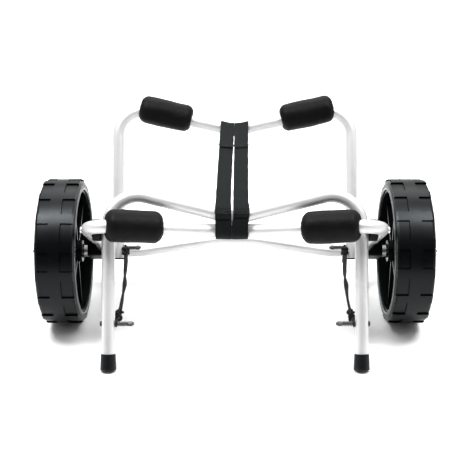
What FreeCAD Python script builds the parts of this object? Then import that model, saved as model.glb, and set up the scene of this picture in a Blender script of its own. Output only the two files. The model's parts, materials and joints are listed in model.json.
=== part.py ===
import FreeCAD, Part
import math
import os

# Folding two-wheel trolley for carrying a small boat. Millimetres.
# Frame of the model: +X to the trolley's right, +Y towards its rear, +Z up.
# The origin is on the ground, at the centre of the trolley's footprint.

V = FreeCAD.Vector

# ---- driving dimensions -------------------------------------------------
TUBE_R = 11.1               # 7/8 inch aluminium tube
FRAME_WALL = 2.4            # wall of the base loop and the stand
LIGHT_WALL = 1.0            # wall of the rear loop and the lower crossbar
AXLE_Y = -19.8              # the axle stands a little ahead of the footprint's centre

WHEEL_R = 127.0             # 10 inch wheel
WHEEL_IN = 266.0            # inner face of the tyre, from the middle plane
WHEEL_WIDTH = 67.0
TYRE_INNER_R = 109.0
RIM_WALL = 5.0
TREAD_DEPTH = 2.6
TREAD_POCKETS = 16          # in each of the tread's two rows
POCKET_TURN = 14.8          # degrees of the tread that one pocket takes
POCKET_START = 10.0         # half of the smooth band between the rows
TREAD_PHASE = {"left": 5.6, "right": 3.05}    # degrees, where the wheels stand at rest
HUB_R = 19.0
HUB_IN = 268.5
HUB_OUT = 336.0

RAIL_X = 242.0              # side rails of the base loop
REAR_X = 219.0              # legs of the rear loop
STAND_X = 209.0             # legs of the stand loop

RAIL_SLOPE = math.radians(32.7)
REAR_LEAN = math.radians(26.0)
STAND_LEAN = math.radians(25.0)
FRONT_DIP = math.radians(15.2)    # the saddle bars slope down to their middles
STAND_DIP = math.radians(13.7)
REAR_DIP = math.radians(12.7)

BASE_BEND = 36.0            # bend radii, to the tube's centre line
REAR_BEND = 48.0
STAND_BEND = 50.0
DIP_BEND = 70.0

HINGE = (AXLE_Y + 103.0, 84.0)    # rear loop's pivot on the rails, as (y, z)
PIVOT_RUN = 234.9           # from that pivot along the rail up to the stand's pivot
CORNER_RUN = 52.0           # from the stand's pivot on to the front corner
REAR_LENGTH = 269.0         # from the rear loop's pivot to its top corner
REAR_TAIL = 20.0            # and down to its lower end
STAND_TOP = 70.4            # from the stand's pivot up to its corner
CROSSBAR_RUN = 58.0         # from the rear loop's pivot down the rail to the rear corner
CROSSBAR_RISE = 24.0        # how far the lower crossbar arches up
CROSSBAR_FLAT = 36.0        # half of its level middle
CROSSBAR_KNEE = 184.0       # where it starts to rise, from the middle plane

BOLT_R = 4.0                # stand pivot bolt, M8
PIN_R = 2.5                 # spring bolt, M5
RUNNING = 0.05              # radial clearance of a pin in its hole
PIN_FROM_GROUND = 71.0      # height of the stand's spring bolts
SPRING_LENGTH = 18.6
SPRING_COIL_R = 3.5
SPRING_WIRE_R = 0.75
SPRING_TURNS = 7
TETHER_STACK = 3.4          # washer and tether loop between leg and spring
NUT_LENGTH = 6.4
SPACER_R = 18.0
RIVET_R = 2.4
SPLICE_RUN = 44.0           # the rails end this far above the rear corner's bend
SOLE_RISE = 1.8             # the sole stands this far up the leg's line from the ground
FOOT_TOP = 28.7
FOOT_INSERT = 58.0          # its solid core inside the leg

AXLE_R = 8.0
AXLE_TIP = 358.0
SPIGOT_R = 6.0              # the axle's thinner inner end, held in the bracket
SPIGOT_IN = 242.5
CLIP_X = 349.0
BRACKET_OUT = 256.6         # the axle bracket's outer face
BRACKET_RIVETS = (28.0, 70.0)
BRACKET_RIVET_DROP = 6.5    # they enter the rail's side below its centre line
BRACKET_FRONT = -17.0       # from the rail's point over the axle, down the rail
BRACKET_BACK = 81.0
BRACKET_TOP = 1.5           # from the rail's centre line, square to the rail
BRACKET_DEPTH = 31.0
BRACKET_BEVEL = 14.0        # where its bevelled inner face crosses under the rail's centre line

FRONT_PADS = {"left": (119.0, 209.0), "right": (110.0, 202.0)}    # from the middle plane
REAR_PADS = {"left": (81.0, 178.0), "right": (86.0, 184.0)}
FRONT_PAD_LIFT = V(0, 0.6, 1.4)
REAR_PAD_LIFT = V(0, 1.3, 2.7)
FRONT_PAD_R = 26.5
REAR_PAD_R = 25.5
PAD_EDGE = 11.0
WEB_WIDTH = 25.4            # 1 inch webbing
WEB_THICK = 1.8
WEB_GAP = 1.6               # between the two straps
WEB_MIDDLE = -2.5           # the straps sit a little to the left of the middle plane
STRAP_BORE = TUBE_R + 3.5   # room for the bars' dip across the webbing's width
BAR_RISE = 4.3              # the bars' mean height above the bottom of their dip
CORD_R = 2.4
CORD_LOOP_R = 6.5
CLEAR = 0.3                 # between surfaces that move past each other

SIDES = (("left", -1), ("right", 1))


# ---- geometry helpers ---------------------------------------------------
def along(point, angle, distance):
    """The (y, z) point at a distance from another, at an angle above +Y."""
    return (point[0] + distance * math.cos(angle), point[1] + distance * math.sin(angle))


def rail_point(distance):
    """The (y, z) point of the rails' line, measured up the rail from the rear pivot."""
    return along(HINGE, math.pi - RAIL_SLOPE, distance)


PIVOT = rail_point(PIVOT_RUN)
STAND_UP = math.pi / 2 - STAND_LEAN       # the legs' direction above +Y
REAR_UP = math.pi / 2 - REAR_LEAN
STAND_CORNER = along(PIVOT, STAND_UP, STAND_TOP)
STAND_FOOT = along(PIVOT, STAND_UP, -PIVOT[1] / math.sin(STAND_UP))
STAND_PIN = along(PIVOT, STAND_UP, -(PIVOT[1] - PIN_FROM_GROUND) / math.sin(STAND_UP))
REAR_CORNER = along(HINGE, REAR_UP, REAR_LENGTH)
FRONT_CORNER = rail_point(PIVOT_RUN + CORNER_RUN)
LOW_CORNER = rail_point(-CROSSBAR_RUN)
AXLE = (AXLE_Y, 127.0)


def at(x, yz):
    return V(x, yz[0], yz[1])


def rounded_path(points, radii):
    """A wire through the points, with an arc of each radius at the inner ones."""
    edges = []
    start = points[0]
    for before, corner, after, radius in zip(points, points[1:], points[2:], radii):
        into = (corner - before).normalize()
        out = (after - corner).normalize()
        turn = into.getAngle(out)
        reach = radius * math.tan(turn / 2)
        first = corner - into * reach
        last = corner + out * reach
        inward = (out - into).normalize()
        middle = corner + inward * (radius / math.cos(turn / 2) - radius)
        edges.append(Part.LineSegment(start, first).toShape())
        edges.append(Part.Arc(first, middle, last).toShape())
        start = last
    edges.append(Part.LineSegment(start, points[-1]).toShape())
    return Part.Wire(edges)


def sweep_round(path, radius):
    start = path.Edges[0]
    origin = start.valueAt(start.FirstParameter)
    heading = start.tangentAt(start.FirstParameter)
    circle = Part.Wire(Part.makeCircle(radius, origin, heading))
    return path.makePipeShell([circle], True, False)


def tube(points, radii, wall):
    """A bent tube, open at both ends."""
    path = rounded_path(points, radii)
    return sweep_round(path, TUBE_R).cut(sweep_round(path, TUBE_R - wall))


def solid_rod(points, radii, radius):
    return sweep_round(rounded_path(points, radii), radius)


def disc(radius, x_from, x_to, yz, bore=0.0):
    """A round piece along X between two places, with a bore if one is given."""
    low, high = min(x_from, x_to), max(x_from, x_to)
    body = Part.makeCylinder(radius, high - low, at(low, yz), V(1, 0, 0))
    if bore:
        body = body.cut(Part.makeCylinder(bore, high - low, at(low, yz), V(1, 0, 0)))
    return body


def hexagon(across, x_from, x_to, yz, bore):
    """A hexagonal nut along X, with chamfered corners."""
    low, high = min(x_from, x_to), max(x_from, x_to)
    corner = across / math.sqrt(3)
    points = []
    for step in range(7):
        angle = math.radians(60 * step + 30)
        points.append(V(low, yz[0] + corner * math.cos(angle), yz[1] + corner * math.sin(angle)))
    nut = Part.Face(Part.makePolygon(points)).extrude(V(high - low, 0, 0))
    crown = Part.makeCone(across / 2, across / 2 + high - low, high - low, at(low, yz), V(1, 0, 0))
    nut = nut.common(crown)
    return nut.cut(Part.makeCylinder(bore, high - low, at(low, yz), V(1, 0, 0)))


def domed_head(radius, height, x_face, side, yz):
    """A button head that stands outward from a face."""
    head = Part.makeCylinder(radius, height, at(x_face, yz), V(side, 0, 0))
    rim = [e for e in head.Edges if abs(e.CenterOfMass.x - (x_face + side * height)) < 1e-6]
    return head.makeFillet(height * 0.7, rim)


def holes_across(shape, radius, x_from, x_to, yz):
    return shape.cut(disc(radius, x_from, x_to, yz))


def both_sides(shape, radius, x_middle, yz):
    """Drill straight through both legs or rails of a loop."""
    for _, side in SIDES:
        shape = holes_across(shape, radius, side * (x_middle - 15), side * (x_middle + 15), yz)
    return shape


def loop_points(x, foot, corner, dip):
    """Ends, corners and middle of a U loop whose bar dips towards its middle."""
    heading = V(0, foot[0] - corner[0], foot[1] - corner[1]).normalize()
    middle = at(0, corner) + heading * (x * math.tan(dip))
    return [at(-x, foot), at(-x, corner), middle, at(x, corner), at(x, foot)]


# ---- the three loops ----------------------------------------------------
SPLICE_END = rail_point(-CROSSBAR_RUN + BASE_BEND + SPLICE_RUN)
BASE_POINTS = loop_points(RAIL_X, SPLICE_END, FRONT_CORNER, FRONT_DIP)
REAR_POINTS = loop_points(REAR_X, along(HINGE, REAR_UP, -REAR_TAIL), REAR_CORNER, REAR_DIP)
STAND_POINTS = loop_points(STAND_X, along(STAND_FOOT, STAND_UP, 9), STAND_CORNER, STAND_DIP)


AXLE_ABOVE = (HINGE[0] - AXLE_Y) / math.cos(RAIL_SLOPE)    # up the rail, to over the axle
RIVET_PLACE = rail_point(-CROSSBAR_RUN + BASE_BEND + SPLICE_RUN + 13)


def bracket_rivet_points():
    return [
        along(rail_point(AXLE_ABOVE - run), -math.pi / 2 - RAIL_SLOPE, BRACKET_RIVET_DROP)
        for run in BRACKET_RIVETS
    ]


def front_frame():
    frame = tube(BASE_POINTS, [BASE_BEND, DIP_BEND, BASE_BEND], FRAME_WALL)
    frame = both_sides(frame, BOLT_R + RUNNING, RAIL_X, PIVOT)
    return bracket_rivet_holes(rivet_holes(frame), 2)


def lower_crossbar():
    """The arched rear bar, whose reduced ends plug into the rails."""
    ends = [at(side * RAIL_X, SPLICE_END) for _, side in SIDES]
    corners = [at(side * RAIL_X, LOW_CORNER) for _, side in SIDES]
    crown = (LOW_CORNER[0], LOW_CORNER[1] + CROSSBAR_RISE)
    flats = [at(side * CROSSBAR_FLAT, crown) for _, side in SIDES]
    knees = [at(side * CROSSBAR_KNEE, LOW_CORNER) for _, side in SIDES]
    points = [ends[0], corners[0], knees[0], flats[0], flats[1], knees[1], corners[1], ends[1]]
    bar = tube(points, [BASE_BEND, DIP_BEND, DIP_BEND, DIP_BEND, DIP_BEND, BASE_BEND], LIGHT_WALL)
    up_rail = V(0, -math.cos(RAIL_SLOPE), math.sin(RAIL_SLOPE))
    plug_r = TUBE_R - FRAME_WALL - RUNNING
    for end in ends:
        plug = Part.makeCylinder(plug_r, 26, end, up_rail)
        collar = Part.makeCylinder(TUBE_R - LIGHT_WALL / 2, 4, end - up_rail * 4, up_rail)
        plug = plug.fuse(collar)
        bar = bar.fuse(plug.cut(Part.makeCylinder(plug_r - 1.5, 30, end - up_rail * 4, up_rail)))
    bar = both_sides(bar.removeSplitter(), PIN_R + RUNNING, RAIL_X, HINGE)
    return rivet_holes(bar)


def rear_frame():
    frame = tube(REAR_POINTS, [REAR_BEND, DIP_BEND, REAR_BEND], LIGHT_WALL)
    return both_sides(frame, PIN_R + RUNNING, REAR_X, HINGE)


def stand_frame():
    frame = tube(STAND_POINTS, [STAND_BEND, DIP_BEND, STAND_BEND], FRAME_WALL)
    frame = both_sides(frame, BOLT_R + RUNNING, STAND_X, PIVOT)
    return both_sides(frame, PIN_R + RUNNING, STAND_X, STAND_PIN)


def leg_plug(side):
    """A push-in end cap with a thin flange, under a rear leg."""
    heading = V(0, math.cos(REAR_UP), math.sin(REAR_UP))
    end = at(side * REAR_X, along(HINGE, REAR_UP, -REAR_TAIL))
    plug = Part.makeCylinder(TUBE_R - LIGHT_WALL - RUNNING, 14, end, heading)
    flange = Part.makeCylinder(TUBE_R + 0.6, 2.4, end - heading * 2.4, heading)
    rim = [e for e in flange.Edges if (e.CenterOfMass - (end - heading * 2.4)).Length < 1e-6]
    flange = flange.makeFillet(1.2, rim)
    return plug.fuse(flange).removeSplitter()


def stand_foot(side):
    """A moulded rubber foot round the leg's end, pressed flat where it meets the ground."""
    heading = V(0, math.cos(STAND_UP), math.sin(STAND_UP))
    sole = at(side * STAND_X, STAND_FOOT)
    foot = Part.makeCone(13.3, 12.3, FOOT_TOP - SOLE_RISE, sole + heading * SOLE_RISE, heading)
    lip = [e for e in foot.Edges if (e.CenterOfMass - (sole + heading * FOOT_TOP)).Length < 1e-6]
    foot = foot.makeFillet(0.7, lip)
    edge = [e for e in foot.Edges if (e.CenterOfMass - (sole + heading * SOLE_RISE)).Length < 1e-6]
    foot = foot.makeFillet(2.0, edge)
    socket = Part.makeCylinder(TUBE_R, 40, sole + heading * 9, heading)
    ground = Part.makeBox(100, 100, 100, sole - V(50, 50, 100))
    foot = foot.cut(socket).cut(ground)
    inner = Part.makeCylinder(TUBE_R - FRAME_WALL - RUNNING, FOOT_INSERT, sole + heading * 9, heading)
    return foot.fuse(inner).removeSplitter()


# ---- pivots, spring bolts and rivets ------------------------------------
def pivot_spacer(side):
    """A moulded spacer saddled over the rail, flat towards the stand's leg."""
    inner = side * (STAND_X + TUBE_R + CLEAR)
    outer = side * (RAIL_X - 7.5)
    spacer = disc(SPACER_R, inner, outer, PIVOT)
    spacer = spacer.makeFillet(1.5, [e for e in spacer.Edges if e.Length > 100])
    low = at(side * RAIL_X, rail_point(PIVOT_RUN - 40))
    high = at(side * RAIL_X, FRONT_CORNER)
    rail = solid_rod([low, high, BASE_POINTS[2]], [BASE_BEND], TUBE_R + 0.05)
    spacer = spacer.cut(rail)
    return spacer.cut(disc(BOLT_R + RUNNING, inner, outer, PIVOT))


def pivot_bolt(side):
    """A button-headed bolt through rail, spacer and leg."""
    face = side * (RAIL_X + TUBE_R)
    tip = side * (STAND_X - TUBE_R - 8.5)
    shank = disc(BOLT_R, tip, face, PIVOT)
    return shank.fuse(domed_head(6.0, 2.8, face, side, PIVOT)).removeSplitter()


def pivot_nut(side):
    face = side * (STAND_X - TUBE_R - CLEAR)
    washer = disc(8.0, face, face - side * 1.2, PIVOT, BOLT_R + RUNNING)
    nut = hexagon(13.0, face - side * 1.2, face - side * 7.5, PIVOT, BOLT_R + RUNNING)
    return washer.fuse(nut).removeSplitter()


def hinge_washer(side):
    """A thin nylon washer between the rail and the rear leg."""
    middle = (RAIL_X - TUBE_R + REAR_X + TUBE_R) / 2
    return disc(9.0, side * (middle - 0.2), side * (middle + 0.2), HINGE, PIN_R + RUNNING)


def spring_bolt(side, yz, head_face, leg_face):
    """A long bolt with a round head outside and a spring held on its inner end."""
    tip = side * (leg_face - TETHER_STACK - SPRING_LENGTH - NUT_LENGTH - 2.5)
    shank = disc(PIN_R, tip, side * head_face, yz)
    head = domed_head(4.6, 2.8, side * head_face, side, yz)
    return shank.fuse(head).removeSplitter()


def spring_nut(side, yz, leg_face):
    start = leg_face - TETHER_STACK - SPRING_LENGTH
    return hexagon(8.0, side * start, side * (start - NUT_LENGTH), yz, PIN_R + RUNNING)


def pin_washers(yz, leg_face):
    """The washers between the legs and the tethers' loops, one on each side."""
    near, far = leg_face - CLEAR, leg_face - CLEAR - 0.8
    return [disc(5.2, side * near, side * far, yz, PIN_R + RUNNING) for _, side in SIDES]


def spring(side, yz, leg_face):
    """An open coil spring round the bolt, with closed end turns."""
    start = leg_face - TETHER_STACK
    length = SPRING_LENGTH - 2 * SPRING_WIRE_R - 0.1
    coil = Part.makeLongHelix(length / SPRING_TURNS, length, SPRING_COIL_R, 0, False)
    section = Part.Wire(Part.makeCircle(SPRING_WIRE_R, V(SPRING_COIL_R, 0, 0), V(0, 1, 0)))
    wire = Part.Wire(coil.Edges).makePipeShell([section], True, True)
    wire.rotate(V(0, 0, 0), V(0, 1, 0), -90 * side)
    wire.translate(at(side * (start - SPRING_WIRE_R - 0.05), yz))
    return wire


def rivet_holes(shape):
    for _, side in SIDES:
        outer = side * (RAIL_X + 15)
        shape = shape.cut(disc(RIVET_R + RUNNING, side * (RAIL_X + 3), outer, RIVET_PLACE))
    return shape


def bracket_rivet_holes(shape, depth):
    """Holes from outside, to a depth measured from the rails' middle planes."""
    for _, side in SIDES:
        for point in bracket_rivet_points():
            hole = disc(RIVET_R + RUNNING, side * (RAIL_X + depth), side * (BRACKET_OUT + 1), point)
            shape = shape.cut(hole)
    return shape


def rail_rivets():
    """Pop rivets that hold the lower crossbar's plugs in the rails."""
    rivets = []
    for _, side in SIDES:
        face = side * (RAIL_X + TUBE_R)
        shank = disc(RIVET_R, face - side * 4.5, face, RIVET_PLACE)
        head = domed_head(4.5, 1.6, face, side, RIVET_PLACE)
        rivets.append(shank.fuse(head).removeSplitter())
    return rivets


# ---- axle, bracket and wheel --------------------------------------------
BLOCK_OUTLINE = (
    (BRACKET_FRONT, BRACKET_TOP), (BRACKET_BACK, BRACKET_TOP), (BRACKET_BACK, 19.0),
    (BRACKET_BACK - 40, BRACKET_DEPTH), (BRACKET_FRONT, BRACKET_DEPTH),
)


def axle_bracket(side):
    """A moulded block on the rail's outer side and under it, which holds the stub axle."""
    down = V(0, math.cos(RAIL_SLOPE), -math.sin(RAIL_SLOPE))
    under = V(0, -math.sin(RAIL_SLOPE), -math.cos(RAIL_SLOPE))
    over_axle = at(side * RAIL_X, rail_point(AXLE_ABOVE))
    body = slab(over_axle, down, under, BLOCK_OUTLINE, -side * TUBE_R, side * (BRACKET_OUT - RAIL_X))
    start = over_axle + down * (BRACKET_FRONT - 1)
    wedge = [
        start + V(side * x, 0, 0) + under * drop
        for x, drop in ((-30, -30), (BRACKET_BEVEL + 30, -30), (-30, BRACKET_BEVEL + 30))
    ]
    wedge = Part.Face(Part.makePolygon(wedge + wedge[:1]))
    body = body.cut(wedge.extrude(down * (BRACKET_BACK - BRACKET_FRONT + 2)))
    rail = Part.makeCylinder(TUBE_R + RUNNING, 240, over_axle - down * 120, down)
    body = bracket_rivet_holes(body.cut(rail), 2)
    bore = disc(SPIGOT_R + RUNNING, side * (SPIGOT_IN - RUNNING), side * (BRACKET_OUT + 1), AXLE)
    return largest(body.cut(bore).removeSplitter())


def slab(origin, down, under, outline, x_from, x_to):
    """A plate across X, from (run, drop) points, with rounded corners."""
    points = [origin + down * run + under * drop + V(x_from, 0, 0) for run, drop in outline]
    body = Part.Face(Part.makePolygon(points + points[:1])).extrude(V(x_to - x_from, 0, 0))
    corners = [e for e in body.Edges if abs(e.tangentAt(e.FirstParameter).x) > 0.99]
    return body.makeFillet(4.0, corners)


def largest(shape):
    return max(shape.Solids, key=lambda solid: solid.Volume)


def bracket_rivets():
    """Two rivets on each side, through the bracket's flange into the rail."""
    rivets = []
    for _, side in SIDES:
        face = side * BRACKET_OUT
        for point in bracket_rivet_points():
            shank = disc(RIVET_R, side * (RAIL_X + 3), face, point)
            rivets.append(shank.fuse(domed_head(4.2, 2.0, face, side, point)).removeSplitter())
    return rivets


def axle(side):
    """A stub axle: a spigot in the bracket, a shoulder, and a cross hole near its tip."""
    shaft = disc(AXLE_R, side * BRACKET_OUT, side * AXLE_TIP, AXLE)
    tip = [e for e in shaft.Edges if abs(e.CenterOfMass.x - side * AXLE_TIP) < 1e-6]
    shaft = shaft.makeChamfer(1.5, tip)
    spigot = disc(SPIGOT_R, side * SPIGOT_IN, side * BRACKET_OUT, AXLE)
    pin_hole = Part.makeCylinder(2.05, 40, V(side * CLIP_X, AXLE[0], AXLE[1] - 20), V(0, 0, 1))
    return shaft.fuse(spigot).removeSplitter().cut(pin_hole)


def axle_bushing(side):
    return disc(10.5, side * (BRACKET_OUT + 0.05), side * (HUB_IN - 2.4), AXLE, AXLE_R + RUNNING)


def inner_washer(side):
    return disc(12.0, side * (HUB_IN - 2.3), side * (HUB_IN - 0.4), AXLE, AXLE_R + RUNNING)


def outer_washer(side):
    return disc(14.0, side * (HUB_OUT + 0.4), side * (HUB_OUT + 2.4), AXLE, AXLE_R + RUNNING)


def retaining_clip(side):
    """A spring clip: a straight leg through the axle and a bowed leg round it."""
    wire = 1.8
    middle = at(side * CLIP_X, AXLE)
    leg = Part.makeCylinder(wire, 30, middle - V(0, 0, 15), V(0, 0, 1))
    top = middle + V(0, 0, 15)
    path = rounded_path(
        [top, top + V(0, 0, 8), top + V(0, 12.5, 8), middle + V(0, 12.5, 7),
         middle + V(0, 10.8, -4), middle + V(0, 13.5, -14)],
        [3.6, 3.6, 8.0, 8.0],
    )
    bow = sweep_round(path, wire)
    return leg.fuse(bow).removeSplitter()


def ring_profile(points):
    """A solid of revolution about the axle, from (x, radius) points."""
    outline = [V(x, AXLE[0], AXLE[1] + radius) for x, radius in points]
    face = Part.Face(Part.makePolygon(outline + outline[:1]))
    return face.revolve(at(0, AXLE), V(1, 0, 0), 360)


def tyre(side, phase):
    """A moulded tyre: a smooth tread with a row of shallow pockets towards each shoulder."""
    base_r = WHEEL_R - TREAD_DEPTH
    half = WHEEL_WIDTH / 2
    middle = side * (WHEEL_IN + half)
    section = [
        (-half + 3, TYRE_INNER_R), (half - 3, TYRE_INNER_R), (half, TYRE_INNER_R + 3),
        (half, base_r - 7), (half - 2.5, base_r - 1.3), (half - 6, base_r),
        (-half + 6, base_r), (-half + 2.5, base_r - 1.3), (-half, base_r - 7),
        (-half, TYRE_INNER_R + 3),
    ]
    body = ring_profile([(middle + x, radius) for x, radius in section])
    tread = ring_profile([
        (middle - half + 2.2, base_r - 1), (middle - half + 2.2, WHEEL_R - 1.3),
        (middle - half + 5.5, WHEEL_R), (middle + half - 5.5, WHEEL_R),
        (middle + half - 2.2, WHEEL_R - 1.3), (middle + half - 2.2, base_r - 1),
    ])
    length = WHEEL_R * math.radians(POCKET_TURN)
    pockets = []
    for row in (-1, 1):
        low = middle + (POCKET_START if row > 0 else -POCKET_START - half)
        for step in range(TREAD_POCKETS):
            pocket = Part.makeBox(half, length, 12, V(low, -length / 2, WHEEL_R - 8))
            pocket.rotate(V(0, 0, 0), V(1, 0, 0), phase + 360 / TREAD_POCKETS * step)
            pocket.translate(at(0, AXLE))
            pockets.append(pocket)
    tread = tread.cut(Part.makeCompound(pockets))
    return largest(body.fuse(tread).removeSplitter())


def rim(side):
    """A moulded rim: barrel, dished web, six double ribs and a hub."""
    half = WHEEL_WIDTH / 2
    middle = side * (WHEEL_IN + half)
    outer = TYRE_INNER_R - 0.05
    section = [
        (-half + 3, outer), (half - 3, outer), (half - 3, outer - RIM_WALL),
        (4, outer - RIM_WALL), (4, HUB_R), (half - 3, HUB_R), (half - 3, 10.6),
        (-half + 3, 10.6), (-half + 3, HUB_R), (-4, HUB_R), (-4, outer - RIM_WALL),
        (-half + 3, outer - RIM_WALL),
    ]
    body = ring_profile([(middle + x, radius) for x, radius in section])
    ribs = []
    holes = []
    reach = outer - RIM_WALL - HUB_R + 4
    for step in range(6):
        rib = Part.makeBox(2 * half - 22, 5, reach, V(middle - half + 11, -2.5, HUB_R - 2))
        rib.rotate(V(0, 0, 0), V(1, 0, 0), 60 * step)
        rib.translate(at(0, AXLE))
        ribs.append(rib)
        hole = Part.makeCylinder(17, 20, V(middle - 10, 0, 68), V(1, 0, 0))
        hole.rotate(V(0, 0, 0), V(1, 0, 0), 60 * step + 30)
        hole.translate(at(0, AXLE))
        holes.append(hole)
    body = body.cut(Part.makeCompound(holes))
    return largest(body.fuse(ribs).removeSplitter())


def hub_bush(side):
    """The plastic bush pressed into the hub that turns on the axle."""
    return disc(10.6, side * (HUB_IN + 0.5), side * (HUB_OUT - 0.5), AXLE, AXLE_R + RUNNING)


# ---- pads and webbing ---------------------------------------------------
def pad(loop, bend, side, reach, radius, lift):
    """A foam pad round a saddle bar, on the sloping run beside the bar's middle."""
    middle = loop[2]
    slope = (loop[2 + side] - middle).normalize()
    start = middle + slope * (reach[0] / abs(slope.x))
    length = (reach[1] - reach[0]) / abs(slope.x)
    body = Part.makeCylinder(radius, length, start + lift, slope)
    body = body.makeFillet(PAD_EDGE, [e for e in body.Edges if e.Length > 150])
    bar = solid_rod([middle + slope * 20, loop[2 + side], loop[2 + 2 * side]], [bend], TUBE_R + RUNNING)
    return body.cut(bar)


def bar_centre(loop):
    """The (y, z) point of a bar's middle, half way up its dip under the webbing."""
    up = (loop[1] - loop[0]).normalize()
    return (loop[2].y + up.y * BAR_RISE, loop[2].z + up.z * BAR_RISE)


def hull_plate(first, second, radius, x_from, width):
    """The shape that a belt round two bars encloses."""
    a, b = at(x_from, first), at(x_from, second)
    run = (b - a).normalize()
    side_step = V(0, -run.z, run.y) * radius
    corners = [a + side_step, b + side_step, b - side_step, a - side_step, a + side_step]
    body = Part.Face(Part.makePolygon(corners)).extrude(V(width, 0, 0))
    for centre in (a, b):
        body = body.fuse(Part.makeCylinder(radius, width, centre, V(1, 0, 0)))
    return body.removeSplitter()


def strap(side):
    """A webbing looped round the rear bar and, in front, round the two front bars."""
    rear, bar, front = bar_centre(REAR_POINTS), bar_centre(STAND_POINTS), bar_centre(BASE_POINTS)
    x_from = WEB_MIDDLE + (WEB_GAP / 2 if side > 0 else -WEB_GAP / 2 - WEB_WIDTH)
    outer = STRAP_BORE + WEB_THICK
    loops = hull_plate(bar, front, outer, x_from, WEB_WIDTH)
    loops = loops.fuse(disc(outer, x_from, x_from + WEB_WIDTH, rear))
    start, end = at(x_from, rear), at(x_from, bar)
    run = (end - start).normalize()
    up = V(0, -run.z, run.y)
    if up.z < 0:
        up = up * -1
    corners = [
        start + up * STRAP_BORE, end + up * STRAP_BORE,
        end + up * outer, start + up * outer, start + up * STRAP_BORE,
    ]
    sheet = Part.Face(Part.makePolygon(corners)).extrude(V(WEB_WIDTH, 0, 0))
    body = loops.fuse(sheet)
    body = body.cut(hull_plate(bar, front, STRAP_BORE, x_from, WEB_WIDTH))
    return body.cut(disc(STRAP_BORE, x_from, x_from + WEB_WIDTH, rear)).removeSplitter()


def tether(side):
    """A cord from the rear pivot's bolt to the stand's spring bolt, looped on both."""
    high_x = REAR_X - TUBE_R - TETHER_STACK + 1.15
    low_x = STAND_X - TUBE_R - TETHER_STACK + 1.15
    high, low = at(side * high_x, HINGE), at(side * low_x, STAND_PIN)
    run = low - high
    sag = V(0, 0, -1)
    points = [high, high + run * 0.3 + sag * 9, high + run * 0.66 + sag * 11, low]
    cord = solid_rod(points, [110.0, 110.0], CORD_R)
    for centre in (high, low):
        clear = Part.makeCylinder(CORD_LOOP_R - 1.1, 12, centre - V(6, 0, 0), V(1, 0, 0))
        cord = cord.cut(clear)
    for x, yz in ((high_x, HINGE), (low_x, STAND_PIN)):
        cord = cord.fuse(disc(CORD_LOOP_R, side * (x - 1.05), side * (x + 1.05), yz, PIN_R + 0.1))
    return cord.removeSplitter()


def save(name, shapes):
    if isinstance(shapes, list):
        shapes = Part.makeCompound(shapes)
    shapes.exportStep(os.path.join("parts", name + ".step"))
    print(name, "valid" if shapes.isValid() else "INVALID", round(shapes.Volume), len(shapes.Solids))


def main():
    os.makedirs("parts", exist_ok=True)
    save("front_frame", front_frame())
    save("lower_crossbar", lower_crossbar())
    save("rear_frame", rear_frame())
    save("stand_frame", stand_frame())
    save("rail_rivets", rail_rivets())
    save("bracket_rivets", bracket_rivets())
    save("hinge_pin_washers", pin_washers(HINGE, REAR_X - TUBE_R))
    save("stand_pin_washers", pin_washers(STAND_PIN, STAND_X - TUBE_R))
    for name, side in SIDES:
        save("leg_plug_" + name, leg_plug(side))
        save("stand_foot_" + name, stand_foot(side))
        save("pivot_spacer_" + name, pivot_spacer(side))
        save("pivot_bolt_" + name, pivot_bolt(side))
        save("pivot_nut_" + name, pivot_nut(side))
        save("hinge_washer_" + name, hinge_washer(side))
        save("hinge_bolt_" + name, spring_bolt(side, HINGE, RAIL_X + TUBE_R, REAR_X - TUBE_R))
        save("hinge_nut_" + name, spring_nut(side, HINGE, REAR_X - TUBE_R))
        save("hinge_spring_" + name, spring(side, HINGE, REAR_X - TUBE_R))
        save("stand_bolt_" + name, spring_bolt(side, STAND_PIN, STAND_X + TUBE_R, STAND_X - TUBE_R))
        save("stand_nut_" + name, spring_nut(side, STAND_PIN, STAND_X - TUBE_R))
        save("stand_spring_" + name, spring(side, STAND_PIN, STAND_X - TUBE_R))
        save("axle_bracket_" + name, axle_bracket(side))
        save("axle_" + name, axle(side))
        save("axle_bushing_" + name, axle_bushing(side))
        save("inner_washer_" + name, inner_washer(side))
        save("outer_washer_" + name, outer_washer(side))
        save("retaining_clip_" + name, retaining_clip(side))
        save("tyre_" + name, tyre(side, TREAD_PHASE[name]))
        save("rim_" + name, rim(side))
        save("hub_bush_" + name, hub_bush(side))
        front_pad = pad(BASE_POINTS, BASE_BEND, side, FRONT_PADS[name], FRONT_PAD_R, FRONT_PAD_LIFT)
        rear_pad = pad(REAR_POINTS, REAR_BEND, side, REAR_PADS[name], REAR_PAD_R, REAR_PAD_LIFT)
        save("pad_front_" + name, front_pad)
        save("pad_rear_" + name, rear_pad)
        save("strap_" + name, strap(side))
        save("tether_" + name, tether(side))


main()
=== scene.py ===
import json
import math

import bmesh
import bpy
from mathutils import Matrix, Vector, noise


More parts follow.
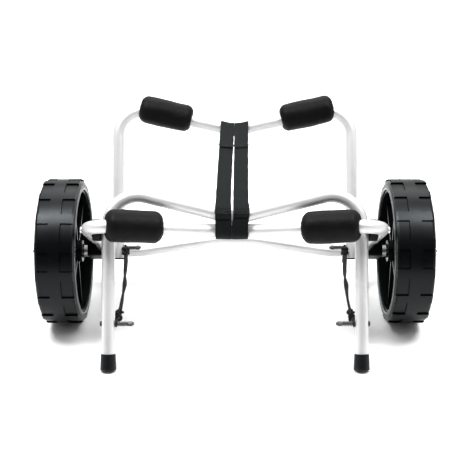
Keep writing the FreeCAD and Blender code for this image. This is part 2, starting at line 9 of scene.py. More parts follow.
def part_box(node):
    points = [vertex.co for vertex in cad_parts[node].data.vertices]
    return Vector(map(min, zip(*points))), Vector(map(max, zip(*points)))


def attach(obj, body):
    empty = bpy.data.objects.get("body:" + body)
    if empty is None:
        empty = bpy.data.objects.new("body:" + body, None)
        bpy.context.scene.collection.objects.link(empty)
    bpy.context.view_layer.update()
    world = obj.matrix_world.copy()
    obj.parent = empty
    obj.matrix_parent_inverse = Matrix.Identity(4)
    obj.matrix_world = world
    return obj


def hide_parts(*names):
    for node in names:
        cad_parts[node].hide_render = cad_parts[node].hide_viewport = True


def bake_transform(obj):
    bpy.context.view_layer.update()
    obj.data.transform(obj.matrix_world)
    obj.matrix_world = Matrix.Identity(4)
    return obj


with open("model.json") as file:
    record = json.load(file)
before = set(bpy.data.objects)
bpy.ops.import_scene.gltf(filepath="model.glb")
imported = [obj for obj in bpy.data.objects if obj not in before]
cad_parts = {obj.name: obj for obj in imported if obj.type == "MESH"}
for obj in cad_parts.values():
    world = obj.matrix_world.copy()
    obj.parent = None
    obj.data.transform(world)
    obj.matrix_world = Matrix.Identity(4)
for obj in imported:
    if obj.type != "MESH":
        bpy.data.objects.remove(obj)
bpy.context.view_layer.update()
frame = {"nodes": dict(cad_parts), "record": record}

# ---- dimensions, in metres ------------------------------------------------
TUBE_R = 0.0111
BEND_R = 0.070              # of the rounded middle of a dipped bar
OUTER = 0.0164              # from a bar's centre to the outside of the CAD strap
WEB = 0.0254                # webbing width
WEB_THICK = 0.0016
SNUG = TUBE_R + 0.0014      # from a bar's centre to the middle of the webbing round it
BELT_R = SNUG + 0.0010      # the same for the bands, which lie looser
BAR_GAP = 0.0267            # the stand's bar is this far above the front bar
BAR_BACK = 0.0021           # and this far behind it
RISE_AT_STRAPS = 0.0043     # about how far the dipped bars have risen where the straps lie
REAR_LEAN = math.radians(26.0)
REAR_DIP = math.radians(12.7)
FRONT_DIP = math.radians(15.2)
RAIL_SLOPE = math.radians(32.7)
SIDES = (("left", -1), ("right", 1))
DOUBLED = 0.092             # the straps lie doubled this far from the rear bar
STRAP_MIDDLES = {"left": (-0.0196, -0.0135), "right": (0.0096, 0.0122)}    # front, rear
BAND = 0.0268               # the front bands are a little wider, pressed flat
BAND_STARTS = {"left": (-0.0329, -0.0322), "right": (-0.0031, -0.0052)}    # top, bottom
TAB_TOP = 4                 # the step of the band's path at which a strap's sewn end begins
TAB_STEPS = {"left": 12, "right": 11}      # and the step at which it ends
SPLIT = 0.2                 # how far from the stand's bar to the rear bar the lap becomes the run
PAD_CORE = 0.0155           # the pads' foam is shaped outside this radius
PAD_ROUND = 0.016           # how far in from its ends a pad is rounded off
CORD_R = 0.0021             # one strand of a tether
EYE_R = 0.0046              # the loop at each end of a tether
RING_R = 0.0065             # the ring of the CAD tether
RING_IN = 0.0024            # from the side of that tether to the middle of its ring
HINGE_Z, STAND_BOLT_Z = 0.084, 0.071
LIP_R = 0.1100              # the bead on the rim
FLOOR_HALF = 12
CAMERA_PLACE = (0.0, -1.6348, 0.911)
CAMERA_DROP = 25            # degrees below level
WORLD = 0.72                # strength of the surround, white in front and dark behind the camera
DARK_SIDE = (0.0, -0.93, 0.36)
LIGHTS = (                  # name, place, side and watts of each softbox
    ("key", (-0.8, -0.35, 1.9), 0.6, 26.0),
    ("fill", (0.9, -0.35, 1.9), 0.6, 23.0),
    ("back", (0.0, 2.0, 2.2), 2.0, 26.0),
    ("ceiling", (0.0, 0.8, 3.6), 7.0, 110.0),
)


# ---- materials ------------------------------------------------------------
class Nodes:
    """A material's node tree, with short calls for the nodes that are used here."""

    def __init__(self, name):
        self.material = bpy.data.materials.new(name)
        self.material.use_nodes = True
        self.tree = self.material.node_tree
        self.shader = self.tree.nodes["Principled BSDF"]

    def add(self, kind, **values):
        node = self.tree.nodes.new(kind)
        for key, value in values.items():
            if hasattr(node, key):
                setattr(node, key, value)
            else:
                node.inputs[key.replace("_", " ")].default_value = value
        return node

    def link(self, start, end):
        self.tree.links.new(start, end)

    def place(self, scale=(1, 1, 1), source="Object"):
        coords = self.add("ShaderNodeTexCoord")
        mapping = self.add("ShaderNodeMapping")
        mapping.inputs["Scale"].default_value = scale
        self.link(coords.outputs[source], mapping.inputs["Vector"])
        return mapping.outputs["Vector"]

    def noise(self, vector, scale, detail=4.0, rough=0.55):
        node = self.add("ShaderNodeTexNoise", Scale=scale, Detail=detail, Roughness=rough)
        self.link(vector, node.inputs["Vector"])
        return node.outputs["Fac"]

    def ramp(self, factor, stops):
        node = self.add("ShaderNodeValToRGB")
        node.color_ramp.elements[0].position, node.color_ramp.elements[0].color = stops[0]
        node.color_ramp.elements[1].position, node.color_ramp.elements[1].color = stops[-1]
        for position, colour in stops[1:-1]:
            node.color_ramp.elements.new(position).color = colour
        self.link(factor, node.inputs["Fac"])
        return node.outputs["Color"]

    def span(self, factor, low, high):
        node = self.add("ShaderNodeMapRange")
        node.inputs["To Min"].default_value = low
        node.inputs["To Max"].default_value = high
        self.link(factor, node.inputs["Value"])
        return node.outputs["Result"]

    def maths(self, operation, first, second):
        node = self.add("ShaderNodeMath")
        node.operation = operation
        for socket, value in zip(node.inputs, (first, second)):
            if isinstance(value, (int, float)):
                socket.default_value = value
            else:
                self.link(value, socket)
        return node.outputs["Value"]

    def bump(self, height, distance, strength):
        node = self.add("ShaderNodeBump", Strength=strength, Distance=distance)
        self.link(height, node.inputs["Height"])
        self.link(node.outputs["Normal"], self.shader.inputs["Normal"])

    def set(self, **values):
        for key, value in values.items():
            self.shader.inputs[key.replace("_", " ")].default_value = value


def grey(value, tint=(1.0, 1.0, 1.0)):
    return (value * tint[0], value * tint[1], value * tint[2], 1.0)


def anodised_aluminium():
    """Satin drawn tube: fine lines, faint cloudiness and a few handling marks."""
    m = Nodes("anodised_tube")
    m.set(Metallic=0.5)
    cloud = m.noise(m.place(), 14.0, 3.0)
    m.link(m.ramp(cloud, [(0.35, grey(0.62)), (0.7, grey(0.68))]), m.shader.inputs["Base Color"])
    fine = m.noise(m.place(), 900.0, 2.0)
    marks = m.noise(m.place((1.0, 5.0, 5.0)), 90.0, 6.0, 0.7)
    rough = m.maths("ADD", m.span(cloud, 0.36, 0.43), m.span(marks, -0.03, 0.05))
    m.link(rough, m.shader.inputs["Roughness"])
    m.bump(m.maths("ADD", fine, m.maths("MULTIPLY", marks, 0.6)), 0.00003, 0.5)
    return m.material


def bright_steel(name, value, rough):
    """Bare steel of one grey, with faint spots and fine grain."""
    m = Nodes(name)
    m.set(Metallic=1.0)
    spots = m.noise(m.place(), 260.0, 5.0, 0.6)
    m.link(m.ramp(spots, [(0.35, grey(value * 0.86)), (0.65, grey(value))]), m.shader.inputs["Base Color"])
    m.link(m.span(spots, rough - 0.06, rough + 0.08), m.shader.inputs["Roughness"])
    m.bump(m.noise(m.place(), 1500.0, 2.0), 0.00002, 0.5)
    return m.material


def moulded_plastic(name, value, gloss, rough, grain, depth):
    """Moulded black plastic or rubber, with an even fine texture and a little dust."""
    m = Nodes(name)
    tint = (0.91, 0.98, 1.02)
    dust = m.noise(m.place(), 22.0, 6.0, 0.65)
    colours = [(0.38, grey(value, tint)), (0.72, grey(value * 1.5, tint))]
    m.link(m.ramp(dust, colours), m.shader.inputs["Base Color"])
    pebble = m.noise(m.place(), grain, 3.0)
    m.link(m.span(dust, rough - 0.05, rough + 0.07), m.shader.inputs["Roughness"])
    m.set(Specular_IOR_Level=gloss, Specular_Tint=grey(1.0, tint))
    m.bump(pebble, depth, 0.6)
    return m.material


def foam():
    """Closed-cell foam: a matt skin with pin-holes, shallow dents and lighter scuffs."""
    m = Nodes("pad_foam")
    cells = m.add("ShaderNodeTexVoronoi", Scale=650.0)
    m.link(m.place(), cells.inputs["Vector"])
    pores = m.span(cells.outputs["Distance"], 0.0, 1.0)
    lumps = m.noise(m.place(), 45.0, 5.0, 0.6)
    colours = [(0.3, grey(0.0025, (0.95, 1.05, 0.98))), (0.75, grey(0.005, (0.95, 1.05, 0.98)))]
    m.link(m.ramp(lumps, colours), m.shader.inputs["Base Color"])
    m.link(m.span(lumps, 0.42, 0.56), m.shader.inputs["Roughness"])
    m.set(Specular_IOR_Level=0.14, Sheen_Weight=0.02, Sheen_Roughness=0.5)
    height = m.maths("ADD", m.maths("MULTIPLY", lumps, 1.6), m.maths("MULTIPLY", pores, 0.5))
    m.bump(height, 0.0005, 0.7)
    return m.material


def webbing():
    """Nylon webbing: a tight weave of lengthwise ribs crossed by the weft, on UVs in metres."""
    m = Nodes("webbing")
    ribs = m.add("ShaderNodeTexWave", Scale=1.0, Distortion=0.4, Detail=1.0)
    ribs.bands_direction = "X"
    m.link(m.place((520, 90, 1), "UV"), ribs.inputs["Vector"])
    weft = m.add("ShaderNodeTexWave", Scale=1.0, Distortion=0.6, Detail=1.0)
    weft.bands_direction = "Y"
    m.link(m.place((90, 420, 1), "UV"), weft.inputs["Vector"])
    weave = m.maths("MULTIPLY", ribs.outputs["Fac"], m.span(weft.outputs["Fac"], 0.45, 1.0))
    fuzz = m.noise(m.place(), 1800.0, 2.0)
    worn = m.noise(m.place(), 30.0, 4.0)
    shade = m.maths("ADD", m.maths("MULTIPLY", weave, 0.7), m.maths("MULTIPLY", worn, 0.35))
    colours = [(0.1, grey(0.003, (0.88, 1.04, 1.0))), (0.95, grey(0.014, (0.88, 1.04, 1.0)))]
    m.link(m.ramp(shade, colours), m.shader.inputs["Base Color"])
    m.set(Roughness=0.7, Specular_IOR_Level=0.14, Sheen_Weight=0.06, Sheen_Roughness=0.45)
    m.set(Specular_Tint=grey(1.0, (0.84, 1.0, 1.02)))
    m.bump(m.maths("ADD", weave, m.maths("MULTIPLY", fuzz, 0.25)), 0.0004, 0.8)
    return m.material


def cord_material():
    m = Nodes("tether_cord")
    braid = m.add("ShaderNodeTexWave", Scale=1.0, Distortion=0.3, Detail=1.0)
    braid.bands_direction = "DIAGONAL"
    m.link(m.place((700, 700, 700)), braid.inputs["Vector"])
    m.link(m.ramp(braid.outputs["Fac"], [(0.1, grey(0.004)), (0.9, grey(0.016))]),
           m.shader.inputs["Base Color"])
    m.link(m.span(m.noise(m.place(), 400.0), 0.6, 0.85), m.shader.inputs["Roughness"])
    m.set(Specular_IOR_Level=0.2, Sheen_Weight=0.1)
    m.bump(braid.outputs["Fac"], 0.0003, 0.7)
    return m.material


def thread_material():
    m = Nodes("thread")
    twist = m.noise(m.place(), 2500.0, 2.0)
    m.link(m.ramp(twist, [(0.3, grey(0.004)), (0.7, grey(0.02))]), m.shader.inputs["Base Color"])
    m.set(Roughness=0.6, Sheen_Weight=0.3)
    m.bump(twist, 0.0002, 0.5)
    return m.material


def floor_material():
    m = Nodes("floor")
    patches = m.noise(m.place(), 2.0, 2.0)
    m.link(m.ramp(patches, [(0.3, grey(0.90)), (0.7, grey(0.915))]), m.shader.inputs["Base Color"])
    m.set(Roughness=0.7, Specular_IOR_Level=0.2)
    return m.material


MATERIALS = {
    "anodised_tube": anodised_aluminium(),
    "steel_hardware": bright_steel("steel_hardware", 0.9, 0.36),
    "spring_steel": bright_steel("spring_steel", 0.15, 0.4),
    "black_plastic": moulded_plastic("black_plastic", 0.002, 0.14, 0.42, 900.0, 0.00008),
    "rim_plastic": moulded_plastic("rim_plastic", 0.003, 0.35, 0.3, 700.0, 0.00006),
    "tyre_rubber": moulded_plastic("tyre_rubber", 0.002, 0.25, 0.32, 500.0, 0.0001),
    "foot_rubber": moulded_plastic("foot_rubber", 0.004, 0.3, 0.45, 600.0, 0.0001),
    "pad_foam": foam(),
    "webbing": webbing(),
    "tether_cord": cord_material(),
}
THREAD = thread_material()
BOLT_STEEL = bright_steel("bolt_steel", 0.09, 0.34)
BOLTS = ("hinge_bolt", "stand_bolt", "hinge_nut", "stand_nut", "hinge_pin", "stand_pin")
# The rim bead's base colour (0.14, far lighter than the black rim) is a painted highlight: it stands in
# for the bright line of light along the rim's edge. Its high gloss is real.
LIP_GLOSS_AND_PAINTED_HIGHLIGHT = moulded_plastic("rim_lip", 0.14, 1.0, 0.24, 600.0, 0.00004)


def dress_cad():
    """Every CAD node takes the procedural material of its slot, except the bolts, nuts and pins, which
    take a dark bolt steel.
    """
    slots = {s["node"]: s["material_slot"] for s in frame["record"]["subparts"]}
    for name, obj in frame["nodes"].items():
        obj.data.materials.clear()
        obj.data.materials.append(BOLT_STEEL if name.startswith(BOLTS) else MATERIALS[slots[name]])


# ---- mesh helpers ---------------------------------------------------------
def new_piece(name, mesh, material):
    obj = bpy.data.objects.new(name, mesh)
    bpy.context.scene.collection.objects.link(obj)
    mesh.materials.append(material)
    for face in mesh.polygons:
        face.use_smooth = True
    return obj


def apply_modifiers(obj):
    graph = bpy.context.evaluated_depsgraph_get()
    made = bpy.data.meshes.new_from_object(obj.evaluated_get(graph))
    old = obj.data
    obj.modifiers.clear()
    obj.data = made
    bpy.data.meshes.remove(old)


def arc(centre, radius, start, end, steps):
    """(y, z) points on an arc, with angles in degrees above +Y."""
    points = []
    for step in range(steps + 1):
        angle = math.radians(start + (end - start) * step / steps)
        points.append(Vector((centre[0] + radius * math.cos(angle), centre[1] + radius * math.sin(angle))))
    return points


def spaced(points, gap):
    """Points at even distances along a line of points."""
    out = [points[0].copy()]
    left = gap
    for first, second in zip(points, points[1:]):
        length = (second - first).length
        place = left
        while place < length:
            out.append(first.lerp(second, place / length))
            place += gap
        left = place - length
    out.append(points[-1].copy())
    return out


def ribbon(name, points, start, width, thick, lift, across=9):
    """A band of webbing along (y, z) points, from x = start(point).
    lift(x, point) moves a place to follow a dipped bar."""
    inner = [-0.97 + 1.94 * k / (across - 1) for k in range(1, across - 1)]
    columns = [-1.0, -0.97] + inner + [0.97, 1.0]
    mesh = bpy.data.meshes.new(name)
    bm = bmesh.new()
    uv = bm.loops.layers.uv.new("UVMap")
    rows = []
    along = 0.0
    for index, point in enumerate(points):
        before = points[max(index - 1, 0)]
        after = points[min(index + 1, len(points) - 1)]
        along += (point - before).length
        heading = (after - before).normalized()
        normal = Vector((-heading.y, heading.x))
        row = []
        for face in (1, -1):
            for column in (columns if face > 0 else reversed(columns)):
                edge = 1.0 if abs(column) < 0.96 else (0.85 if abs(column) < 0.99 else 0.35)
                x = start(point) + width * (column + 1) / 2
                wave = noise.noise(Vector((x * 30, point.x * 14, point.y * 14))) * 0.0005
                out = normal * (face * thick / 2 * edge + wave)
                ragged = noise.noise(Vector((column, point.x * 60, point.y * 60))) * abs(column) ** 8
                place = point + out + lift(x, point)
                vertex = bm.verts.new((x + ragged * 0.0005, place.x, place.y))
                row.append((vertex, width * (column + 1) / 2, along))
        rows.append(row)
    for first, second in zip(rows, rows[1:]):
        around = len(first)
        for k in range(around):
            corners = [first[k], first[(k + 1) % around], second[(k + 1) % around], second[k]]
            face = bm.faces.new([c[0] for c in corners])
            for loop, corner in zip(face.loops, corners):
                loop[uv].uv = (corner[1], corner[2])
    for cap in ([c[0] for c in rows[0]], [c[0] for c in reversed(rows[-1])]):
        for edge in bm.faces.new(cap).edges:
            edge.smooth = False
    bmesh.ops.recalc_face_normals(bm, faces=bm.faces)
    bm.to_mesh(mesh)
    bm.free()
    return mesh


def tube_along(name, points, radius, sides=12, taper=None):
    """A round cord as a mesh, along 3-D points, closed at its ends."""
    mesh = bpy.data.meshes.new(name)
    bm = bmesh.new()
    rings = []
    normal = None
    for index, point in enumerate(points):
        heading = (points[min(index + 1, len(points) - 1)] - points[max(index - 1, 0)]).normalized()
        if normal is None:
            normal = heading.orthogonal().normalized()
        normal = (normal - heading * normal.dot(heading)).normalized()
        across = heading.cross(normal)
        size = radius * (taper(index / (len(points) - 1)) if taper else 1.0)
        rings.append([
            bm.verts.new(point + (normal * math.cos(a) + across * math.sin(a)) * size)
            for a in (2 * math.pi * k / sides for k in range(sides))
        ])
    for first, second in zip(rings, rings[1:]):
        for k in range(sides):
            bm.faces.new((first[k], first[(k + 1) % sides], second[(k + 1) % sides], second[k]))
    bm.faces.new(list(reversed(rings[0])))
    bm.faces.new(rings[-1])
    bmesh.ops.recalc_face_normals(bm, faces=bm.faces)
    bm.to_mesh(mesh)
    bm.free()
    return mesh


def smooth_line(controls, steps=60):
    """Points on a smooth curve near the control points."""
    curve = bpy.data.curves.new("route", "CURVE")
    curve.dimensions = "3D"
    spline = curve.splines.new("NURBS")
    spline.points.add(len(controls) - 1)
    for place, control in zip(spline.points, controls):
        place.co = (*control, 1.0)
    spline.order_u = 3
    spline.use_endpoint_u = True
    spline.resolution_u = max(4, steps // max(1, len(controls)))
    holder = bpy.data.objects.new("route", curve)
    mesh = bpy.data.meshes.new_from_object(holder)
    points = [v.co.copy() for v in mesh.vertices]
    bpy.data.objects.remove(holder)
    bpy.data.curves.remove(curve)
    bpy.data.meshes.remove(mesh)
    return points


# ---- foam pads ------------------------------------------------------------
def pad(node, body, slope):
    """The foam sleeve: the CAD form remeshed, its ends rounded off, its skin a little uneven."""
    source = frame["nodes"][node]
    mesh = source.data.copy()
    mesh.materials.clear()
    obj = new_piece(node + "_foam", mesh, MATERIALS["pad_foam"])
    remesh = obj.modifiers.new("remesh", "REMESH")
    remesh.mode = "VOXEL"
    remesh.voxel_size = 0.0022
    ease = obj.modifiers.new("ease", "SMOOTH")
    ease.factor = 0.5
    ease.iterations = 6
    apply_modifiers(obj)
    low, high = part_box(node)
    centre = (low + high) / 2
    reach = max(abs((v.co - centre).dot(slope)) for v in obj.data.vertices)
    for vertex in obj.data.vertices:
        along = (vertex.co - centre).dot(slope)
        axis = centre + slope * along
        out = vertex.co - axis
        left = reach - abs(along)
        size = out.length
        if size > PAD_CORE:
            share = 1 + 0.035 * (1 - (along / reach) ** 2)
            if left < PAD_ROUND:
                share -= 0.34 * ((PAD_ROUND - left) / PAD_ROUND) ** 2.3
            out *= (PAD_CORE + (size - PAD_CORE) * share) / size
        place = axis + out
        dent = noise.noise(place * 24) * 0.0013 + noise.noise(place * 110) * 0.0003
        vertex.co = place + vertex.normal * dent
    for face in obj.data.polygons:
        face.use_smooth = True
    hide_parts(node)
    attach(obj, body)


def pads():
    """The four pads, each with the direction in which its bar slopes."""
    for name, side in SIDES:
        for place, body, dip, up in (
            ("front", "base", FRONT_DIP, Vector((0, -math.cos(RAIL_SLOPE), math.sin(RAIL_SLOPE)))),
            ("rear", "rear", REAR_DIP, Vector((0, math.sin(REAR_LEAN), math.cos(REAR_LEAN)))),
        ):
            slope = Vector((side * math.cos(dip), 0, 0)) + up * math.sin(dip)
            pad("pad_%s_%s" % (place, name), body, slope)


# ---- straps ---------------------------------------------------------------
def dip_height(x, dip):
    """How far a dipped bar's centre line stands above the sharp middle of its V."""
    reach = BEND_R * math.tan(dip)
    if abs(x) < reach:
        return BEND_R * (1 / math.cos(dip) - 1) + x * x / (2 * BEND_R) * 0.9
    return abs(x) * math.tan(dip)


def turned(angle, length):
    """A step in the (y, z) plane, at an angle in degrees above +Y."""
    return Vector((math.cos(math.radians(angle)), math.sin(math.radians(angle)))) * length


def quadratic(start, middle, end, share):
    return start * (1 - share) ** 2 + middle * 2 * share * (1 - share) + end * share ** 2


def stitch_row(name, centre, heading, normal, x_from, x_to, lift):
    """Three rows of zigzag stitching across a strap, as one thin thread."""
    points = []
    steps = int((x_to - x_from) / 0.0011)
    for row in range(3):
        for step in range(steps + 1):
            k = step if row % 2 == 0 else steps - step
            x = x_from + (x_to - x_from) * k / steps
            swing = 0.0013 if k % 2 else -0.0013
            place = centre + heading * (swing + row * 0.0024)
            place = place + normal * (0.0002 + 0.00025 * math.sin(k * 1.7 + row))
            shift = lift(x, place)
            points.append(Vector((x, place.x + shift[0], place.y + shift[1])))
    return tube_along(name, points, 0.00045, 6)


def offset(points, distance):
    """A line of (y, z) points moved out to its left by a distance."""
    moved = []
    for index, point in enumerate(points):
        heading = (points[min(index + 1, len(points) - 1)] - points[max(index - 1, 0)]).normalized()
        moved.append(point + Vector((-heading.y, heading.x)) * distance)
    return moved


def clamp(value):
    return min(1.0, max(0.0, value))


def belt_line(front, bar, ahead, above, tilt):
    """A band's path: over the stand's bar, down a slack front face and under the front bar."""
    upper = arc(bar, BELT_R, tilt + 90, 122, 6)
    lower = arc(front, BELT_R, 228, 360, 16)
    nose = (upper[-1] + lower[0]) / 2 + Vector((-0.0230, -0.0040))
    face = [quadratic(upper[-1], nose, lower[0], k / 16) for k in range(1, 16)]
    belt = upper + face + lower + arc(bar, BELT_R, 0, tilt + 30, 8)
    return spaced([bar + ahead * 0.014 + above * (BELT_R + 0.0002)] + belt, 0.0030)


def strap_edges(name, bar, run):
    """The x of a strap's left edge and of its band's, as functions of a (y, z) point."""
    middle_front, middle_rear = STRAP_MIDDLES[name]
    top_x, bottom_x = BAND_STARTS[name]

    def skew(point):
        share = clamp((point.x - bar.x) / run)
        return middle_front + (middle_rear - middle_front) * share ** 1.3 - WEB / 2

    def band_start(point):
        share = clamp((bar.y + 0.004 - point.y) / 0.014)
        return top_x + (bottom_x - top_x) * share

    return skew, band_start


def strap_line(lap, rear, ahead, above, tilt):
    """A strap's path from its sewn front end, round the rear bar and back to its doubled end."""
    seam = rear - ahead * DOUBLED
    top = SNUG + 0.0008
    back = arc(rear, SNUG, tilt - 90, tilt + 90, 26)
    close = back[0] - ahead * 0.040 + above * (SNUG + top - 2.4 * WEB_THICK)
    points = lap + [seam + above * (top - 1.1 * WEB_THICK), close] + back + [seam + above * top]
    return spaced(points, 0.0032), seam + ahead * 0.004 + above * top


def straps():
    """Two straps from the rear bar, each sewn to a band round both front bars."""
    low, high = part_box("strap_left")
    rear = Vector((high.y - OUTER, high.z - OUTER))
    front = Vector((low.y + OUTER, low.z + OUTER))
    bar = front + Vector((BAR_BACK, BAR_GAP))
    rear_up = Vector((math.sin(REAR_LEAN), math.cos(REAR_LEAN)))
    front_up = Vector((-math.cos(RAIL_SLOPE), math.sin(RAIL_SLOPE)))
    run = (rear - bar).length
    tilt = math.degrees(math.atan2(rear.y - bar.y, rear.x - bar.x))
    ahead = turned(tilt, 1.0)
    above = turned(tilt + 90, 1.0)
    belt = belt_line(front, bar, ahead, above, tilt)

    def lift(x, point):
        """Follows the dip of the rear bar at one end and of the front bars at the other."""
        share = clamp((point.x - bar.x) / run)
        rear_shift = rear_up * (dip_height(x, REAR_DIP) - RISE_AT_STRAPS)
        front_shift = front_up * (dip_height(x, FRONT_DIP) - RISE_AT_STRAPS) * 0.7
        return rear_shift * share ** 2 + front_shift * (1 - share) ** 2

    for name, _ in SIDES:
        skew, band_start = strap_edges(name, bar, run)
        lap = offset(belt[TAB_TOP:TAB_STEPS[name]], -0.0018)
        lap.reverse()
        points, rear_seam = strap_line(lap, rear, ahead, above, tilt)
        split = next(k for k, point in enumerate(points) if (point - bar).dot(ahead) > run * SPLIT)
        for label, stretch, body, rest, end in (
            ("lap", points[:split + 1], "stand", "stand_frame", (0, bar.x, bar.y)),
            ("run", points[split:], "rear", "rear_frame", (0, rear.x - 0.02, rear.y)),
        ):
            mesh = ribbon("webbing", stretch, skew, WEB, WEB_THICK, lift)
            piece = new_piece("webbing_%s_%s" % (label, name), mesh, MATERIALS["webbing"])
            if label == "run":
                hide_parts("strap_" + name)
            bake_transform(piece)

        lap_heading = (lap[-4] - lap[-6]).normalized()
        rows = (
            ("rear", rear_seam, ahead, above, 0.0016),
            ("front", lap[-5], lap_heading, Vector((-lap_heading.y, lap_heading.x)), 0.0010),
        )
        for label, centre, heading, normal, extra in rows:
            x_from = skew(centre) - extra
            mesh = stitch_row("stitches", centre + normal * (WEB_THICK / 2 + 0.0002), heading, normal,
                              x_from, x_from + WEB + 2 * extra, lift)
            thread = new_piece("stitches_%s_%s" % (label, name), mesh, THREAD)
            if label == "rear":
                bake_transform(thread)
            else:
                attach(thread, "stand")

        mesh = ribbon("webbing_band_" + name, belt, band_start, BAND, WEB_THICK, lift, 15)
        band = new_piece("webbing_band_" + name, mesh, MATERIALS["webbing"])
        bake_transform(band)


# ---- tethers --------------------------------------------------------------
def knot(name, centre, size, radius, turn):
    """A small overhand knot."""
    points = []
    for step in range(49):
        t = 2 * math.pi * step / 48
        flat = 2 + math.cos(3 * t)
        place = Vector((flat * math.cos(2 * t), math.sin(3 * t) * 1.1, flat * math.sin(2 * t) * 1.25))
        points.append(centre + (Matrix.Rotation(turn, 3, "X") @ place) * (size / 3))
    return tube_along(name, points, radius, 8)


def twisted_strand(line, phase):
    """One of the two strands that wind loosely round a line of points."""
    strand = []
    for index, point in enumerate(line):
        share = index / (len(line) - 1)
        heading = (line[min(index + 1, len(line) - 1)] - line[max(index - 1, 0)]).normalized()
        first = heading.orthogonal().normalized()
        second = heading.cross(first)
        apart = 0.0019 + 0.0007 * math.sin(share * 9 + phase)
        angle = phase + share * 11 + 0.7 * math.sin(share * 14)
        strand.append(point + (first * math.cos(angle) + second * math.sin(angle)) * apart)
    return tube_along("strand", strand, CORD_R, 8)


def tether_line(hinge, stand, side):
    """A tether's sagging path between its two bolts."""
    run = stand - hinge
    sag = Vector((0, 0, -1))
    slack = Vector((-side * 0.004, 0, 0))
    controls = [
        hinge, hinge + run * 0.05 + sag * 0.003, hinge + run * 0.3 + sag * 0.010 + slack,
        hinge + run * 0.66 + sag * 0.012 + slack, hinge + run * 0.95 + sag * 0.003, stand,
    ]
    return smooth_line(controls, 150)


def tether_strands(line, side):
    """The meshes of one tether: two strands, four knots and two loose tails."""
    strands = [twisted_strand(line, phase) for phase in (0.0, math.pi)]
    for place, turn in ((0.07, 0.4), (0.12, 1.1), (0.77, 1.5), (0.86, 2.4)):
        spot = line[int(place * (len(line) - 1))]
        strands.append(knot("knot", spot, 0.0062, 0.0020, turn))
    for place, reach in ((0.12, Vector((-side * 0.004, -0.012, -0.014))),
                         (0.77, Vector((side * 0.005, 0.006, -0.012)))):
        spot = line[int(place * (len(line) - 1))]
        tail = smooth_line([spot, spot + reach * 0.5 + Vector((-side * 0.002, 0, 0)), spot + reach], 24)
        strands.append(tube_along("tail", tail, 0.0018, 8, lambda t: 1.0 - 0.25 * t * t))
    return strands


def joined(name, meshes):
    bm = bmesh.new()
    for part in meshes:
        bm.from_mesh(part)
        bpy.data.meshes.remove(part)
    mesh = bpy.data.meshes.new(name)
    bm.to_mesh(mesh)
    bm.free()
    return mesh


def tethers():
    """On each side a doubled cord, knotted near both ends, from the rear pivot to the stand."""
    for name, side in SIDES:
        low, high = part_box("tether_" + name)
        hinge = Vector((side * (max(abs(low.x), abs(high.x)) - RING_IN), high.y - RING_R, HINGE_Z))
        stand = Vector((side * (min(abs(low.x), abs(high.x)) + RING_IN), low.y + RING_R, STAND_BOLT_Z))
        mesh = joined("tether_cord_" + name, tether_strands(tether_line(hinge, stand, side), side))
        piece = new_piece("tether_cord_" + name, mesh, MATERIALS["tether_cord"])
        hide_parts("tether_" + name)
        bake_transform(piece)
        for body, centre in (("base", hinge), ("stand", stand)):
            loops = []
            for turn in range(41):
                angle = 2 * math.pi * turn / 40
                loops.append(centre + Vector((0, math.cos(angle), math.sin(angle))) * EYE_R)
            eye = new_piece("tether_eye_%s_%s" % (body, name), tube_along("tether_eye", loops, 0.0014, 10),
                            MATERIALS["tether_cord"])
            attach(eye, body)


# ---- springs --------------------------------------------------------------
def springs():
    """Each bolt's spring: the CAD coil copied in spring steel, with the CAD part hidden."""
    for place, body in (("hinge", "base"), ("stand", "stand")):
        for name, _ in SIDES:
            node = "%s_spring_%s" % (place, name)
            mesh = frame["nodes"][node].data.copy()
            mesh.materials.clear()
            coil = new_piece("%s_coil_%s" % (place, name), mesh, MATERIALS["spring_steel"])
            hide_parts(node)
            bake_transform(coil)


# ---- wheels ---------------------------------------------------------------
def revolve(name, profile, centre, steps=160):
    """A ring about the axle, from a closed loop of (x, radius) points."""
    mesh = bpy.data.meshes.new(name)
    bm = bmesh.new()
    rings = []
    for step in range(steps):
        angle = 2 * math.pi * step / steps
        rings.append([
            bm.verts.new((x, centre.y + radius * math.cos(angle), centre.z + radius * math.sin(angle)))
            for x, radius in profile
        ])
    count = len(profile)
    for index in range(steps):
        first, second = rings[index], rings[(index + 1) % steps]
        for k in range(count):
            bm.faces.new((first[k], first[(k + 1) % count], second[(k + 1) % count], second[k]))
    bmesh.ops.recalc_face_normals(bm, faces=bm.faces)
    bm.to_mesh(mesh)
    bm.free()
    return mesh


def wheel_lips():
    """The rounded bead of each rim that stands at the tyre's inner edge, on both faces, coloured light
    grey as a painted highlight along that edge.
    """
    for name, side in SIDES:
        low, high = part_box("tyre_" + name)
        centre = (low + high) / 2
        for label, face, away in (("inner", low.x if side > 0 else high.x, -side),
                                  ("outer", high.x if side > 0 else low.x, side)):
            profile = []
            for step in range(14):
                angle = 2 * math.pi * step / 14
                profile.append((face - away * 0.0012 + math.cos(angle) * 0.0018,
                                LIP_R + math.sin(angle) * 0.0016))
            lip = new_piece("rim_lip_%s_%s" % (label, name), revolve("rim_lip", profile, centre),
                            LIP_GLOSS_AND_PAINTED_HIGHLIGHT)
            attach(lip, "wheel_" + name)


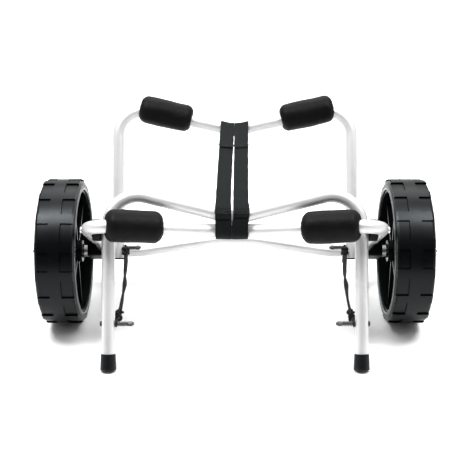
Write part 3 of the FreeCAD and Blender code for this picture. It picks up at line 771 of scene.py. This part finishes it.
# ---- floor, light and camera ----------------------------------------------
def stage():
    mesh = bpy.data.meshes.new("floor")
    half = FLOOR_HALF
    corners = [(-half, -half, 0), (half, -half, 0), (half, half, 0), (-half, half, 0)]
    mesh.from_pydata(corners, [], [(0, 1, 2, 3)])
    floor = bpy.data.objects.new("floor", mesh)
    mesh.materials.append(floor_material())
    bpy.context.scene.collection.objects.link(floor)


def surround():
    """A white surround that darkens toward one side, so that gloss has something to show."""
    world = bpy.data.worlds.new("world")
    bpy.context.scene.world = world
    world.use_nodes = True
    tree = world.node_tree
    background = tree.nodes["Background"]
    background.inputs["Strength"].default_value = WORLD
    coords = tree.nodes.new("ShaderNodeTexCoord")
    toward = tree.nodes.new("ShaderNodeVectorMath")
    toward.operation = "DOT_PRODUCT"
    toward.inputs[1].default_value = DARK_SIDE
    ramp = tree.nodes.new("ShaderNodeValToRGB")
    ramp.color_ramp.elements[0].position = 0.45
    ramp.color_ramp.elements[0].color = (1.0, 1.0, 1.0, 1)
    ramp.color_ramp.elements[1].position = 0.92
    ramp.color_ramp.elements[1].color = (0.04, 0.04, 0.045, 1)
    tree.links.new(coords.outputs["Generated"], toward.inputs[0])
    tree.links.new(toward.outputs["Value"], ramp.inputs["Fac"])
    tree.links.new(ramp.outputs["Color"], background.inputs["Color"])


def lights():
    for label, place, size, power in LIGHTS:
        data = bpy.data.lights.new(label, "AREA")
        data.shape = "SQUARE"
        data.size = size
        data.energy = power
        light = bpy.data.objects.new(label, data)
        light.location = place
        aim = Vector((0, max(0.0, place[1]), 0.15)) - Vector(place)
        light.rotation_mode = "QUATERNION"
        light.rotation_quaternion = aim.to_track_quat("-Z", "Y")
        bpy.context.scene.collection.objects.link(light)


def camera():
    data = bpy.data.cameras.new("camera")
    data.sensor_width = 36.0
    data.lens = 77.7
    data.clip_start, data.clip_end = 0.05, 60.0
    data.dof.use_dof = False
    view = bpy.data.objects.new("camera", data)
    view.location = CAMERA_PLACE
    view.rotation_euler = (math.radians(90 - CAMERA_DROP), 0, 0)
    bpy.context.scene.collection.objects.link(view)
    bpy.context.scene.camera = view
    bpy.context.scene.view_settings.view_transform = "Standard"
    bpy.context.scene.view_settings.look = "Medium High Contrast"


camera()
dress_cad()
pads()
straps()
tethers()
springs()
wheel_lips()
stage()
surround()
lights()
